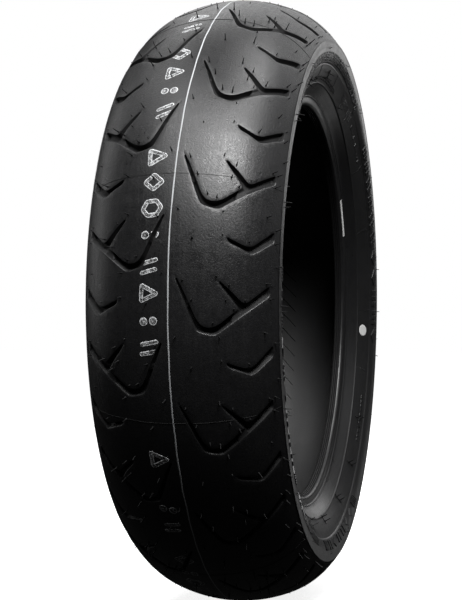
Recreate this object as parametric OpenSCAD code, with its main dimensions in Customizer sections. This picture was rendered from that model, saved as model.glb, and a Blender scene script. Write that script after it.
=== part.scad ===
// Radial rear motorcycle tyre, 180 mm section on a 16 inch drop-centre rim.
// The wheel axis is the Y axis and the wheel centre is the origin; +Z is up.
// Every rubber, fabric and steel layer is drawn as a half section of points
// [y, r] (side offset, radius) and spun about the axle. Neighbouring layers are
// drawn from the same points, so they meet face to face as a cured tyre does.

/* [Overall size] */
// Outer diameter over the tread crown
outer_d = 622; // [620:1:624]
// Diameter of the bead seat that the rim carries
seat_d = 405.6; // [405.0:0.1:406.2]

/* [Tread] */
// Thickness of the tread cap at the crown
cap_t = 7.5; // [7:0.1:7.5]
// Thickness of the tread base under the cap
base_t = 1.5; // [1.5]
// Groove depth at the centre line
groove_centre = 6.0; // [5:0.1:6.2]
// Groove depth at the shoulder
groove_edge = 3.6; // [3:0.1:4]
// Depth of the shallow tie between the long groove and the short V
tie_depth = 1.6; // [1:0.1:2.4]
// Number of repeats of the tread pattern around the tyre
pitches = 17; // [17]

/* [Belts and plies] */
// Thickness of the spirally wound zero degree cap ply
cap_ply_t = 1.0; // [1]
// Thickness of each steel or aramid belt
belt_t = 0.9; // [0.9]
// Thickness of each carcass ply
ply_t = 0.8; // [0.8]
// Thickness of the inner liner
liner_t = 1.2; // [1.2]

/* [Beads] */
// Diameter of one bead wire
wire_d = 1.0; // [1]
// Height of the bead wire bundle's centre above the bead seat
bundle_h = 5.5; // [5.5]

/* [Marks] */
// Thickness of paint and label
mark_t = 0.15; // [0.1:0.05:0.2]
// Width of the painted centre line
stripe_w = 1.8; // [1.2:0.1:2.4]
// Diameter of the painted balance dot
dot_d = 13; // [10:1:14]

/* [Hidden] */

// ---- crown profile: a flat middle arc and a tighter shoulder arc on each side ----
R = outer_d / 2;
seat_r = seat_d / 2;
arc1_r = 137.2;      // middle arc radius
arc1_a = 23.07;      // where the middle arc hands over to the shoulder arc
arc2_r = 77;         // shoulder arc radius
arc2_a = 59.99;      // slope of the tread at its sharp shoulder edge
arc2_y = (arc1_r - arc2_r) * sin(arc1_a);
arc2_x = R - arc1_r + (arc1_r - arc2_r) * cos(arc1_a);
len1 = arc1_r * arc1_a * PI / 180;
len2 = arc2_r * (arc2_a - arc1_a) * PI / 180;
half = len1 + len2;  // surface length from the centre line to the shoulder edge

// Stations along the half crown, then both halves in one list.
st = concat([for (i = [0:4]) len1 * i / 4], [for (i = [1:6]) len1 + len2 * i / 6]);
function sgn(s) = s < 0 ? -1 : 1;
// Point [y, r] on the crown at surface distance s from the centre, d below the surface.
function crown(s, d = 0) =
  let (a = abs(s))
  a <= len1 + 0.001
    ? let (t = a / arc1_r * 180 / PI)
      [sgn(s) * (arc1_r - d) * sin(t), R - arc1_r + (arc1_r - d) * cos(t)]
    : let (t = arc1_a + (a - len1) / arc2_r * 180 / PI)
      [sgn(s) * (arc2_y + (arc2_r - d) * sin(t)), arc2_x + (arc2_r - d) * cos(t)];
function stations(n) = concat([for (i = [n:-1:1]) -st[i]], [for (i = [0:n]) st[i]]);
function rev(l) = [for (i = [len(l) - 1:-1:0]) l[i]];
function flip(l) = [for (p = l) [-p[0], p[1]]];

// ---- depth of each layer's outer face under the crown surface ----
d_base = cap_t;
d_cap = d_base + base_t;
d_out = d_cap + cap_ply_t;
d_in = d_out + belt_t;
d_ply = d_in + belt_t;

// ---- outer face of the right sidewall and bead, from the shoulder edge to the toe ----
shoulder = crown(half);
side_pts = [[90.7, 261.5], [90.2, 255.2], [88.2, 249.2], [85.6, 244.2], [85.5, 243.2],
            [84.5, 242.2], [80.2, 234.0], [75.4, 226.2], [75.3, 225.0], [74.3, 224.5]];
flange_pts = [[70.0, 219.6], [67.0, 216.2], [64.6, 213.2], [63.5, 209.5], [63.3, 206.4],
              [62.6, 204.4], [61.3, 203.2], [59.6, seat_r], [52.6, seat_r]];

// ---- outer face of the outer ply: crown, sidewall, round the bead, turn-up ----
side_ply = [[83.6, 256.0], [85.0, 250.0], [83.2, 243.6], [78.6, 236.8]];
filler_in = [[73.0, 229.6], [66.6, 223.0], [60.4, 218.0], [56.4, 214.0]];
around = [[54.9, 210.8], [54.9, 206.6], [55.9, 205.6], [59.7, 205.6], [60.7, 206.6], [60.7, 210.8]];
turn_up = [[62.4, 214.8], [66.3, 219.6], [71.0, 225.6]];
half_ply = concat([for (i = [1:10]) crown(st[i], d_ply)], side_ply, filler_in, around, turn_up);
path = concat(rev(flip(half_ply)), [crown(0, d_ply)], half_ply);
n_path = len(path);
mid = (n_path - 1) / 2;
// Index in the path, counted from the crown centre, of the named points.
i_edge = 10;         // under the shoulder edge
i_tip = 14;          // tip of the bead filler
i_bead = 19;         // where the inner liner meets the chafer
i_end = 27;          // the outer ply's turn-up end

// Offset of path point i by d towards the air side, with mitred corners.
function unit(v) = v / norm(v);
function seg(i) = unit(path[i + 1] - path[i]);
function inward(u) = [u[1], -u[0]];
function off(i, d) =
  d == 0 ? path[i] :
  let (a = i > 0 ? inward(seg(i - 1)) : inward(seg(i)),
       b = i < n_path - 1 ? inward(seg(i)) : inward(seg(i - 1)),
       m = unit(a + b))
  path[i] + m * d / (m * a);
function run(i0, i1, d) = [for (i = [i0:(i1 >= i0 ? 1 : -1):i1]) off(i, d)];

// Half section points [y, r] spun about the Y axis.
module spin(p) rotate([-90, 0, 0]) rotate_extrude($fn = 180) polygon([for (q = p) [q[1], q[0]]]);
module both(p, side) spin(side > 0 ? p : flip(p));
// One layer of the crown between two depths, n stations each side.
module crown_layer(n, d0, d1)
  spin(concat([for (s = stations(n)) crown(s, d0)], [for (s = rev(stations(n))) crown(s, d1)]));

// ---- tread pattern: outlines in [distance from the centre line, degrees around] ----
long_groove = [[5.2, 4.3], [7.6, 3.7], [13, 1.9], [17.6, 0.1], [23.5, -2.4], [26, -3.3], [29.5, -4.1],
               [33.5, -4.45], [38, -4.5], [42, -4.3], [46, -3.9], [61, -1.75], [61.3, -2.2], [57, -3.2],
               [44, -5.55], [42, -5.75], [37, -5.7], [32, -5.5], [27.5, -5.25], [25, -4.9], [23, -4.2],
               [18, -2], [10.5, 1.5], [6.5, 3.3]];
short_vee = [[44, 3.45], [46.5, 3.15], [55, 1.75], [64, 0.05], [67, -0.45], [69.5, -0.5], [72, -0.3],
             [91, 2.3], [94, 2.6], [94.6, 0.95], [92.5, 0.6], [66, -2.15], [62, -1.35], [55.5, 0.3],
             [48, 2], [44.6, 2.95]];
tie = [[55, -2.9], [60, -1.9], [62.5, -1.3], [66, -1.2], [68, -1.5], [66.4, -2.1], [56.5, -3.4]];
chevron = [[50, 10.75], [53.5, 10.45], [60, 9.95], [66, 9.5], [70, 9.35], [74, 9.4], [77.5, 9.8],
           [96.5, 12.7], [97.5, 12.6], [97.6, 10.9], [96.5, 10.6], [80, 8.5], [76, 8.1], [73, 8],
           [69, 8.3], [62, 8.95], [54, 9.55], [51.5, 10]];
pitch = 360 / pitches;
module turned(deg) rotate([0, -deg, 0]) children();
// A cutter with the outline's shape, pulled straight out along the radius at angle mean.
module pulled(outline, mean = 0, lo = 200, hi = 320)
  turned(mean) rotate([0, 90, 0]) translate([0, 0, lo]) linear_extrude(hi - lo)
    polygon([for (p = outline) [-crown(p[0])[1] * sin(p[1] - mean), crown(p[0])[0]]]);
// Everything under a floor that lies groove deep at the centre and shallower at the edge.
module floor_ring(d0, d1)
  spin(concat([for (s = stations(10)) crown(s, d0 + (d1 - d0) * s * s / (half * half))],
              [[shoulder[0], 150], [-shoulder[0], 150]]));
module half_pitch() { pulled(long_groove); pulled(short_vee); pulled(chevron, 10.5); }
// The left half of the pattern is the right half mirrored and moved on by half a pitch.
module all_round() for (i = [0:pitches - 1]) turned(pitch * i) {
  children();
  turned(pitch / 2) mirror([0, 1, 0]) children();
}
module grooves() {
  difference() { all_round() half_pitch(); floor_ring(groove_centre, groove_edge); }
  difference() { all_round() pulled(tie); floor_ring(tie_depth, tie_depth); }
}

// ---- tread and belt package ----
module tread_cap() color("#1b1b1c") difference() { crown_layer(10, 0, d_base); grooves(); }
module tread_base() color("#232324") crown_layer(10, d_base, d_cap);
// Soft strip that joins the tread's side face to the sidewall.
wing = [shoulder, side_pts[0], [84.6, 259.0], crown(half, d_cap), crown(half, d_base)];
module tread_wing_left() color("#1e1e1f") both(wing, -1);
module tread_wing_right() color("#1e1e1f") both(wing, 1);
module cap_ply() color("#a8864a") crown_layer(8, d_cap, d_out);
module belt_outer() color("#8f8a80") crown_layer(7, d_out, d_in);
module belt_inner() color("#7f7a70") crown_layer(8, d_in, d_ply);
// Rubber that fills the steps where the belts end.
cushion = concat([crown(st[8], d_cap), crown(st[9], d_cap), crown(half, d_cap), crown(half, d_ply)],
                 [crown(st[9], d_ply), crown(st[8], d_ply), crown(st[8], d_in), crown(st[7], d_in),
                  crown(st[7], d_out), crown(st[8], d_out)]);
module belt_cushion_left() color("#2c2c2e") both(cushion, -1);
module belt_cushion_right() color("#2c2c2e") both(cushion, 1);

// ---- carcass: two plies turned up round the beads, and the liner ----
module carcass_ply_outer() color("#b9ad8f")
  spin(concat(run(mid - i_end, mid + i_end, 0), run(mid + i_end, mid - i_end, ply_t)));
module carcass_ply_inner() color("#a89c80")
  spin(concat(run(mid - i_end + 1, mid + i_end - 1, ply_t), run(mid + i_end - 1, mid - i_end + 1, 2 * ply_t)));
d_liner = 2 * ply_t;
d_air = d_liner + liner_t;
module inner_liner() color("#161617")
  spin(concat(run(mid - i_bead, mid + i_bead, d_liner), run(mid + i_bead, mid - i_bead, d_air)));

// ---- bead: wire bundle, rubberised wrap, filler, chafer ----
bundle = [57.8, seat_r + bundle_h];
// Outline of nineteen turns of wire laid 3-4-5-4-3 and cured into one ring: each
// side of the hexagon shows a corner wire and a middle wire.
function arc(c, from, to, n) = [for (i = [0:n]) c + wire_d / 2 * dir(from + (to - from) * i / n)];
function dir(a) = [cos(a), sin(a)];
bundle_outline = [for (k = [0:5]) each concat(
  arc(bundle + 2 * wire_d * dir(60 * k), 60 * k - 85, 60 * k + 85, 5),
  arc(bundle + wire_d * (dir(60 * k) + dir(60 * k + 60)), 60 * k - 35, 60 * k + 95, 4))];
module bundle_section() polygon([for (q = bundle_outline) [q[1], q[0]]]);
module bead_core(side) mirror([0, side > 0 ? 0 : 1, 0])
  rotate([-90, 0, 0]) rotate_extrude($fn = 180) bundle_section();
module bead_core_left() color("#9a8f7a") bead_core(-1);
module bead_core_right() color("#9a8f7a") bead_core(1);
// The wrap holds the bundle and squares it up inside the turned-up plies.
module bead_wrap(side) mirror([0, side > 0 ? 0 : 1, 0])
  rotate([-90, 0, 0]) rotate_extrude($fn = 180) difference() {
    polygon([for (q = [around[0], around[1], around[2], around[3], around[4], around[5]]) [q[1], q[0]]]);
    bundle_section();
    // open on top, where the filler sits on the bundle
    translate([bundle[1], bundle[0] - wire_d]) square([10, 2 * wire_d]);
  }
module bead_wrap_left() color("#2f2f33") bead_wrap(-1);
module bead_wrap_right() color("#2f2f33") bead_wrap(1);
filler = concat([around[0]], rev(filler_in), [side_ply[3]], rev(turn_up), [around[5]]);
module bead_filler(side) mirror([0, side > 0 ? 0 : 1, 0])
  rotate([-90, 0, 0]) rotate_extrude($fn = 180) difference() {
    union() {
      polygon([for (q = filler) [q[1], q[0]]]);
      translate([bundle[1], bundle[0] - wire_d]) square([around[0][1] - bundle[1] + 1, 2 * wire_d]);
    }
    bundle_section();
  }
module bead_filler_left() color("#3a3a3d") bead_filler(-1);
module bead_filler_right() color("#3a3a3d") bead_filler(1);
toe = [[52.1, seat_r + 0.6]];
chafer = concat([side_pts[9]], flange_pts, toe, [off(mid + 20, d_air), off(mid + i_bead, d_air)],
                run(mid + i_bead, mid + i_end - 1, d_liner), [off(mid + i_end - 1, ply_t), off(mid + i_end, ply_t), path[mid + i_end]]);
module chafer_left() color("#202021") both(chafer, -1);
module chafer_right() color("#202021") both(chafer, 1);

// ---- sidewalls, with the raised ring at the lettering band and the rim line ----
wall = concat([crown(half, d_ply), crown(half, d_cap), wing[2]], side_pts,
              [path[mid + i_end]], [for (i = [i_tip:-1:i_edge + 1]) path[mid + i]]);
module sidewall_left() color("#1a1a1b") both(wall, -1);
module sidewall_right() color("#1a1a1b") both(wall, 1);

// ---- paint marks and label ----
// The flat facet of the crown that a surface distance falls on, so that paint lies flush.
function facet(a, k = 0) = a > st[k + 1] + 0.001 ? facet(a, k + 1) : k;
function on_facet(s, d = 0) =
  let (a = abs(s), k = facet(a), f = (a - st[k]) / (st[k + 1] - st[k]),
       p = crown(st[k], d) * (1 - f) + crown(st[k + 1], d) * f)
  [sgn(s) * p[0], p[1]];
module centre_stripe() color("white")
  let (a = stripe_w / 2)
  spin(concat([for (s = [-a, 0, a]) on_facet(s)], [for (s = [a, 0, -a]) on_facet(s, -mark_t)]));
// Skin of paint between two distances on the left half of the crown.
module paint_skin(s0, s1)
  let (mids = [for (k = [9:-1:1]) if (st[k] < -s0 && st[k] > -s1) -st[k]])
  spin(concat([for (s = concat([s0], mids, [s1])) on_facet(s)],
              [for (s = rev(concat([s0], mids, [s1]))) on_facet(s, -mark_t)]));

// Stamped figures, plain shapes only: an outline in millimetres, 18 high and 17 wide.
module hex_frame() difference() { circle(d = 19, $fn = 6); circle(d = 11, $fn = 6); }
module diamond_frame() difference() { circle(d = 20, $fn = 4); circle(d = 10, $fn = 4); }
module wedge_frame() difference() {
  polygon([[-9, -8], [9, -8], [0, 9]]);
  polygon([[-3.4, -4.5], [3.4, -4.5], [0, 2]]);
}
module slant_bars() for (x = [-6, 0, 6]) polygon([[x - 4, -8], [x - 1, -8], [x + 3, 8], [x, 8]]);
module dot_pair() for (y = [-4.6, 4.6]) translate([0, y]) circle(d = 6, $fn = 32);
module short_bar() square([4, 13], center = true);
// Which figure stands at which angle round the tyre.
figures = [[63.1, 2], [57.8, 3], [48.4, 1], [43.1, 2], [38.5, 4], [33.9, 3], [24.6, 2], [19.9, 1],
           [15.3, 0], [10.8, 4], [5.5, 3], [1.1, 2], [-3.5, 4], [-7.9, 3], [-27.7, 2],
           [-38.4, 4], [-43, 3], [-52.9, 1], [-58, 4], [-62.5, 0], [-67, 3]];
band_s = [-28.5, -9.5];
module figure(k) {
  if (k == 0) hex_frame();
  if (k == 1) diamond_frame();
  if (k == 2) wedge_frame();
  if (k == 3) slant_bars();
  if (k == 4) dot_pair();
  if (k == 5) rotate(90) short_bar();
}
module batch_marks() color("#e8e8e4") difference() {
  intersection() {
    paint_skin(band_s[0], band_s[1]);
    for (f = figures) turned(f[0]) rotate([0, 90, 0]) translate([0, -18.7, 290])
      linear_extrude(30) rotate(90) figure(f[1]);
  }
  // the figures stop where the left long grooves cross the band
  for (i = [-4:2]) turned(pitch * (i + 0.5)) mirror([0, 1, 0]) pulled(long_groove);
}

// Round spot of paint on the right sidewall that marks the light side.
dot_at = [80.2, 234.0];
dot_slope = 29.6;
module balance_dot() color("#f2f2ee") turned(-171.6) intersection() {
  spin(concat([side_pts[5], side_pts[6], side_pts[7]],
              [for (q = [side_pts[7], side_pts[6], side_pts[5]]) q + mark_t * [cos(dot_slope), -sin(dot_slope)]]));
  translate([dot_at[1], dot_at[0], 0]) rotate([0, 0, dot_slope]) rotate([-90, 0, 0])
    cylinder(d = dot_d, h = 12, center = true);
}
// Blank sticker on the right bead's outer face, 12.3 degrees long.
module bead_label() color("#f4f4f2") turned(159.2) rotate([-90, 0, 0]) rotate_extrude(angle = 12.3, $fn = 180)
  polygon([for (q = [flange_pts[4], flange_pts[3], flange_pts[3] + [0.5, 1.7],
                     flange_pts[3] + [0.5 + mark_t, 1.7], flange_pts[3] + [mark_t, 0], flange_pts[4] + [mark_t, 0]])
           [q[1], q[0]]]);

tread_cap();
tread_base();
tread_wing_left();
tread_wing_right();
cap_ply();
belt_outer();
belt_inner();
belt_cushion_left();
belt_cushion_right();
carcass_ply_outer();
carcass_ply_inner();
inner_liner();
bead_core_left();
bead_core_right();
bead_wrap_left();
bead_wrap_right();
bead_filler_left();
bead_filler_right();
chafer_left();
chafer_right();
sidewall_left();
sidewall_right();
centre_stripe();
batch_marks();
balance_dot();
bead_label();
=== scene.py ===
# Visual model of the motorcycle tire: fine meshes and materials over the CAD frame.
import bpy, math, random
import numpy as np
from mathutils import Vector, Matrix
from mathutils.geometry import delaunay_2d_cdt


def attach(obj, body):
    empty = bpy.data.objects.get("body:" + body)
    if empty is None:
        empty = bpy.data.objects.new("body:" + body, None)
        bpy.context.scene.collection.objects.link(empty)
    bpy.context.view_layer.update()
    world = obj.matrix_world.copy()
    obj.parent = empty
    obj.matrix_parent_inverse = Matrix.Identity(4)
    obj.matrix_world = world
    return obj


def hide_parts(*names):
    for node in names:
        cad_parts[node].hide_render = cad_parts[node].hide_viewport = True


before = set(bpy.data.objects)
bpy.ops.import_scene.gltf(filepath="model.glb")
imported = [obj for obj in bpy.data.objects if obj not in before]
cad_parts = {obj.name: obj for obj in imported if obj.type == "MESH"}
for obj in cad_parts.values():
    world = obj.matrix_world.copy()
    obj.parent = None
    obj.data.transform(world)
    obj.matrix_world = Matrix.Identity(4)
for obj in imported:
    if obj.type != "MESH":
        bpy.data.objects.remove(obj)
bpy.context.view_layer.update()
MM = 0.001
rnd = random.Random(7)
DEG = math.pi / 180

# ------------------------------------------------------------------ profile
R, R1, R2 = 311.0, 137.2, 77.0
A1, A2 = 23.07 * DEG, 59.99 * DEG
C2Y = (R1 - R2) * math.sin(A1)
C2R = R - R1 + (R1 - R2) * math.cos(A1)
L1, L2 = R1 * A1, R2 * (A2 - A1)
HALF = L1 + L2
PITCH = 360.0 / 17


def crown(s, d=0.0):
    """[side offset, radius] at surface distance s from the centre line, d below the surface, in mm."""
    a, g = abs(s), (1 if s >= 0 else -1)
    if a <= L1:
        t = a / R1
        return g * (R1 - d) * math.sin(t), R - R1 + (R1 - d) * math.cos(t)
    t = A1 + (a - L1) / R2
    return g * (C2Y + (R2 - d) * math.sin(t)), C2R + (R2 - d) * math.cos(t)


def crown_np(s, d):
    a, g = np.abs(s), np.where(s >= 0, 1.0, -1.0)
    t1 = a / R1
    t2 = A1 + (a - L1) / R2
    w = np.where(a <= L1, (R1 - d) * np.sin(t1), C2Y + (R2 - d) * np.sin(t2)) * g
    r = np.where(a <= L1, R - R1 + (R1 - d) * np.cos(t1), C2R + (R2 - d) * np.cos(t2))
    return w, r


def at(w, r, deg):
    return (r * math.cos(deg * DEG) * MM, w * MM, r * math.sin(deg * DEG) * MM)


def on_tread(s, deg, h=0.0):
    w, r = crown(s, -h)
    return at(w, r, deg)


# ------------------------------------------------------------------ mesh helpers
def new_object(name, verts, faces, mat, smooth=True, sharp=None):
    me = bpy.data.meshes.new(name)
    me.from_pydata([tuple(v) for v in verts], [], [tuple(f) for f in faces])
    me.validate(verbose=False)
    me.update()
    ob = bpy.data.objects.new(name, me)
    bpy.context.scene.collection.objects.link(ob)
    if mat:
        me.materials.append(mat)
    if smooth:
        me.shade_smooth()
        if sharp:
            me.set_sharp_from_angle(angle=sharp * DEG)
    return ob


class Soup:
    """Collects vertices and faces of one piece."""

    def __init__(self):
        self.v, self.f = [], []

    def add(self, verts, faces):
        b = len(self.v)
        self.v.extend(verts)
        self.f.extend([tuple(i + b for i in f) for f in faces])

    def ring(self, profile, n, closed=True, wob=None):
        """A profile of (w, r) points spun about the axle in n steps. The profile runs so that its left side is the outside."""
        m = len(profile)
        vs = []
        for j in range(n):
            dg = 360.0 * j / n
            for k, (w, r) in enumerate(profile):
                dr = wob(k, dg) if wob else 0.0
                vs.append(at(w, r + dr, dg))
        fs = []
        for j in range(n):
            j2 = (j + 1) % n
            for k in range(m if closed else m - 1):
                k2 = (k + 1) % m
                fs.append((j * m + k, j * m + k2, j2 * m + k2, j2 * m + k))
        self.add(vs, fs)


def catmull(pts, step):
    """Smooth curve through (w, r) points, sampled about every step mm."""
    P = [np.array(p, float) for p in pts]
    P = [2 * P[0] - P[1]] + P + [2 * P[-1] - P[-2]]
    out = []
    for i in range(1, len(P) - 2):
        n = max(1, int(round(np.linalg.norm(P[i + 1] - P[i]) / step)))
        for k in range(n):
            t = k / n
            a, b, c, d = P[i - 1], P[i], P[i + 1], P[i + 2]
            q = 0.5 * ((2 * b) + (c - a) * t + (2 * a - 5 * b + 4 * c - d) * t * t + (3 * b - a - 3 * c + d) * t ** 3)
            out.append((float(q[0]), float(q[1])))
    out.append((float(P[-2][0]), float(P[-2][1])))
    return out


# ------------------------------------------------------------------ materials
def nodes_of(name):
    m = bpy.data.materials.new(name)
    m.use_nodes = True
    nt = m.node_tree
    bsdf = nt.nodes.get("Principled BSDF")
    return m, nt, bsdf


def N(nt, kind, **kw):
    n = nt.nodes.new(kind)
    for k, v in kw.items():
        setattr(n, k, v)
    return n


def noise(nt, coord, scale, detail=4.0, rough=0.55, distortion=0.0):
    n = N(nt, "ShaderNodeTexNoise")
    n.inputs["Scale"].default_value = scale
    n.inputs["Detail"].default_value = detail
    n.inputs["Roughness"].default_value = rough
    n.inputs["Distortion"].default_value = distortion
    nt.links.new(coord, n.inputs["Vector"])
    return n.outputs["Fac"]


def ramp(nt, fac, stops):
    n = N(nt, "ShaderNodeValToRGB")
    cr = n.color_ramp
    while len(cr.elements) < len(stops):
        cr.elements.new(0.5)
    for e, (p, c) in zip(cr.elements, stops):
        e.position = p
        e.color = (c[0], c[1], c[2], 1) if not isinstance(c, float) else (c, c, c, 1)
    nt.links.new(fac, n.inputs["Fac"])
    return n.outputs["Color"]


def math_node(nt, op, a, b=None, clamp=False):
    n = N(nt, "ShaderNodeMath", operation=op)
    n.use_clamp = clamp
    for i, v in enumerate((a, b)):
        if v is None:
            continue
        if isinstance(v, (int, float)):
            n.inputs[i].default_value = v
        else:
            nt.links.new(v, n.inputs[i])
    return n.outputs[0]


def bump(nt, bsdf, layers):
    """layers: (height socket, strength, distance in metres)"""
    prev = None
    for h, strength, dist in layers:
        b = N(nt, "ShaderNodeBump")
        b.inputs["Strength"].default_value = strength
        b.inputs["Distance"].default_value = dist
        nt.links.new(h, b.inputs["Height"])
        if prev is not None:
            nt.links.new(prev, b.inputs["Normal"])
        prev = b.outputs["Normal"]
    nt.links.new(prev, bsdf.inputs["Normal"])


def polar(nt, sx, sy, sz):
    """Object coordinates turned into (angle about the axle, side offset, radius), each scaled."""
    tc = N(nt, "ShaderNodeTexCoord")
    sep = N(nt, "ShaderNodeSeparateXYZ")
    nt.links.new(tc.outputs["Object"], sep.inputs[0])
    ang = math_node(nt, "ARCTAN2", sep.outputs["Z"], sep.outputs["X"])
    rr = math_node(nt, "SQRT", math_node(nt, "ADD", math_node(nt, "MULTIPLY", sep.outputs["X"], sep.outputs["X"]),
                                         math_node(nt, "MULTIPLY", sep.outputs["Z"], sep.outputs["Z"])))
    comb = N(nt, "ShaderNodeCombineXYZ")
    nt.links.new(math_node(nt, "MULTIPLY", ang, sx), comb.inputs[0])
    nt.links.new(math_node(nt, "MULTIPLY", sep.outputs["Y"], sy), comb.inputs[1])
    nt.links.new(math_node(nt, "MULTIPLY", rr, sz), comb.inputs[2])
    return comb.outputs[0], ang, rr, sep, tc.outputs["Object"]


def N_scaled(nt, vec, k):
    """The vector times k, part by part."""
    n = N(nt, "ShaderNodeVectorMath", operation="MULTIPLY")
    nt.links.new(vec, n.inputs[0])
    n.inputs[1].default_value = k
    return n.outputs[0]


def rubber(name, base, rough, grain=0.25, mottle=0.35, scuff=0.3, spec=0.5, sunk=False, speckle=0.16):
    m, nt, bsdf = nodes_of(name)
    pv, ang, rr, sep, obj = polar(nt, 0.30, 1.0, 1.0)
    big = noise(nt, obj, 18, 3)
    mid = noise(nt, obj, 160, 4)
    fine = noise(nt, obj, 1400, 2)
    speck = noise(nt, obj, 540, 3, 0.65)
    c0 = tuple(c * (1 - mottle * 0.5) for c in base)
    c1 = tuple(c * (1 + mottle) for c in base)
    blend = math_node(nt, "ADD", math_node(nt, "MULTIPLY", big, 0.45), math_node(nt, "MULTIPLY", mid, 0.25))
    blend = math_node(nt, "ADD", blend, math_node(nt, "MULTIPLY", speck, 0.30))
    col = ramp(nt, blend, [(0.32, c0), (0.70, c1)])
    groove = None
    if sunk:
        # painted shade: the base colour is darkened to a third in the grooves, where light does not reach; a rise in
        # roughness below also makes them duller
        groove = N(nt, "ShaderNodeAttribute", attribute_name="sunk").outputs["Fac"]
        groove_shade_mix = N(nt, "ShaderNodeMix", data_type="RGBA")
        nt.links.new(groove, groove_shade_mix.inputs[0])
        nt.links.new(col, groove_shade_mix.inputs[6])
        groove_shade_mix.inputs[7].default_value = (base[0] * 0.35, base[1] * 0.35, base[2] * 0.35, 1)
        col = groove_shade_mix.outputs[2]
    nt.links.new(col, bsdf.inputs["Base Color"])
    # faint brushed streaks that run round the tyre, as left by handling and release agent
    comb = N(nt, "ShaderNodeCombineXYZ")
    nt.links.new(math_node(nt, "MULTIPLY", ang, 0.9), comb.inputs[0])
    nt.links.new(math_node(nt, "MULTIPLY", sep.outputs["Y"], 60.0), comb.inputs[1])
    nt.links.new(math_node(nt, "MULTIPLY", rr, 60.0), comb.inputs[2])
    streak = noise(nt, comb.outputs[0], 6.0, 5, 0.6)
    rsum = math_node(nt, "ADD", math_node(nt, "MULTIPLY", streak, scuff), math_node(nt, "MULTIPLY", mid, 0.18))
    cross = noise(nt, N_scaled(nt, obj, (40.0, 9.0, 40.0)), 2.2, 4, 0.6)
    rsum = math_node(nt, "ADD", rsum, math_node(nt, "MULTIPLY", cross, scuff * 0.7))
    rsum = math_node(nt, "ADD", rsum, math_node(nt, "MULTIPLY", speck, speckle))
    rgh = math_node(nt, "ADD", rsum, rough - 0.85 * scuff - 0.09 - 0.5 * speckle, clamp=True)
    if sunk:
        rgh = math_node(nt, "ADD", rgh, math_node(nt, "MULTIPLY", groove, 0.38), clamp=True)
    rgh = math_node(nt, "MAXIMUM", rgh, 0.24)
    nt.links.new(rgh, bsdf.inputs["Roughness"])
    bsdf.inputs["Specular IOR Level"].default_value = spec
    bump(nt, bsdf, [(fine, grain, 0.00030), (speck, grain, 0.00045), (mid, grain * 0.5, 0.0004)])
    return m


def paint(name, base, broken=0.5, scale=900.0, edge_attr=False):
    """White ink or paint on rubber: broken up by the grain of what is under it."""
    m, nt, bsdf = nodes_of(name)
    tc = N(nt, "ShaderNodeTexCoord")
    obj = tc.outputs["Object"]
    n1 = noise(nt, obj, scale, 3, 0.7)
    n2 = noise(nt, obj, scale * 0.28, 3, 0.6)
    mix = math_node(nt, "ADD", math_node(nt, "MULTIPLY", n1, 0.6), math_node(nt, "MULTIPLY", n2, 0.4))
    if edge_attr:
        at_ = N(nt, "ShaderNodeAttribute", attribute_name="rim")
        rim = ramp(nt, at_.outputs["Fac"], [(0.0, 0.08), (0.30, 0.0), (0.52, 0.045), (0.74, 0.175), (1.0, 0.095)])
        mix = math_node(nt, "ADD", mix, rim)
    col = ramp(nt, mix, [(max(0.0, broken - 0.06), (0.03, 0.03, 0.03)), (min(1.0, broken + 0.035), base)])
    nt.links.new(col, bsdf.inputs["Base Color"])
    rg = ramp(nt, mix, [(0.3, 0.55), (0.7, 0.75)])
    nt.links.new(rg, bsdf.inputs["Roughness"])
    bump(nt, bsdf, [(n1, 0.3, 0.0002)])
    return m


def cord_rubber(name, base, lines, along_deg):
    """Rubberised cord: fine parallel ridges at an angle to the tyre's circumference."""
    m, nt, bsdf = nodes_of(name)
    pv, ang, rr, sep, obj = polar(nt, 0.30, 1.0, 1.0)
    comb = N(nt, "ShaderNodeCombineXYZ")
    t = math_node(nt, "MULTIPLY", ang, 0.30)
    nt.links.new(math_node(nt, "ADD", math_node(nt, "MULTIPLY", t, math.sin(along_deg * DEG)),
                           math_node(nt, "MULTIPLY", sep.outputs["Y"], math.cos(along_deg * DEG))), comb.inputs[0])
    w = N(nt, "ShaderNodeTexWave", wave_type="BANDS", bands_direction="X")
    w.inputs["Scale"].default_value = lines
    w.inputs["Distortion"].default_value = 0.3
    nt.links.new(comb.outputs[0], w.inputs["Vector"])
    n = noise(nt, obj, 260, 3)
    col = ramp(nt, math_node(nt, "ADD", math_node(nt, "MULTIPLY", w.outputs["Fac"], 0.6), math_node(nt, "MULTIPLY", n, 0.4)),
               [(0.2, tuple(c * 0.35 for c in base)), (0.8, base)])
    nt.links.new(col, bsdf.inputs["Base Color"])
    bsdf.inputs["Roughness"].default_value = 0.7
    bump(nt, bsdf, [(w.outputs["Fac"], 0.6, 0.0004)])
    return m


M_TREAD = rubber("tread_rubber", (0.0095, 0.0095, 0.0100), 0.36, grain=0.50, scuff=0.24, spec=0.5, sunk=True, speckle=0.30)
# painted shade: the faces down in the grooves get a darker base colour than the tread face; they are also rougher and
# less shiny
M_GROOVE_SHADE = rubber("groove_shade_rubber", (0.0060, 0.0060, 0.0063), 0.66, grain=0.20, scuff=0.06, spec=0.30)
# painted shade: the vent hairs and mould lines get a darker base colour than the rubber they are made of, for the
# shade on and beside them
M_HAIR_SHADE = rubber("hair_shade_rubber", (0.0055, 0.0055, 0.0058), 0.55, grain=0.15, scuff=0.05, spec=0.3)
M_SIDE = rubber("sidewall_rubber", (0.0115, 0.0115, 0.0120), 0.38, grain=0.18, scuff=0.12, spec=0.5)
M_CHAFER = rubber("chafer_rubber", (0.010, 0.010, 0.0105), 0.35, grain=0.20, scuff=0.18, spec=0.55)
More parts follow.
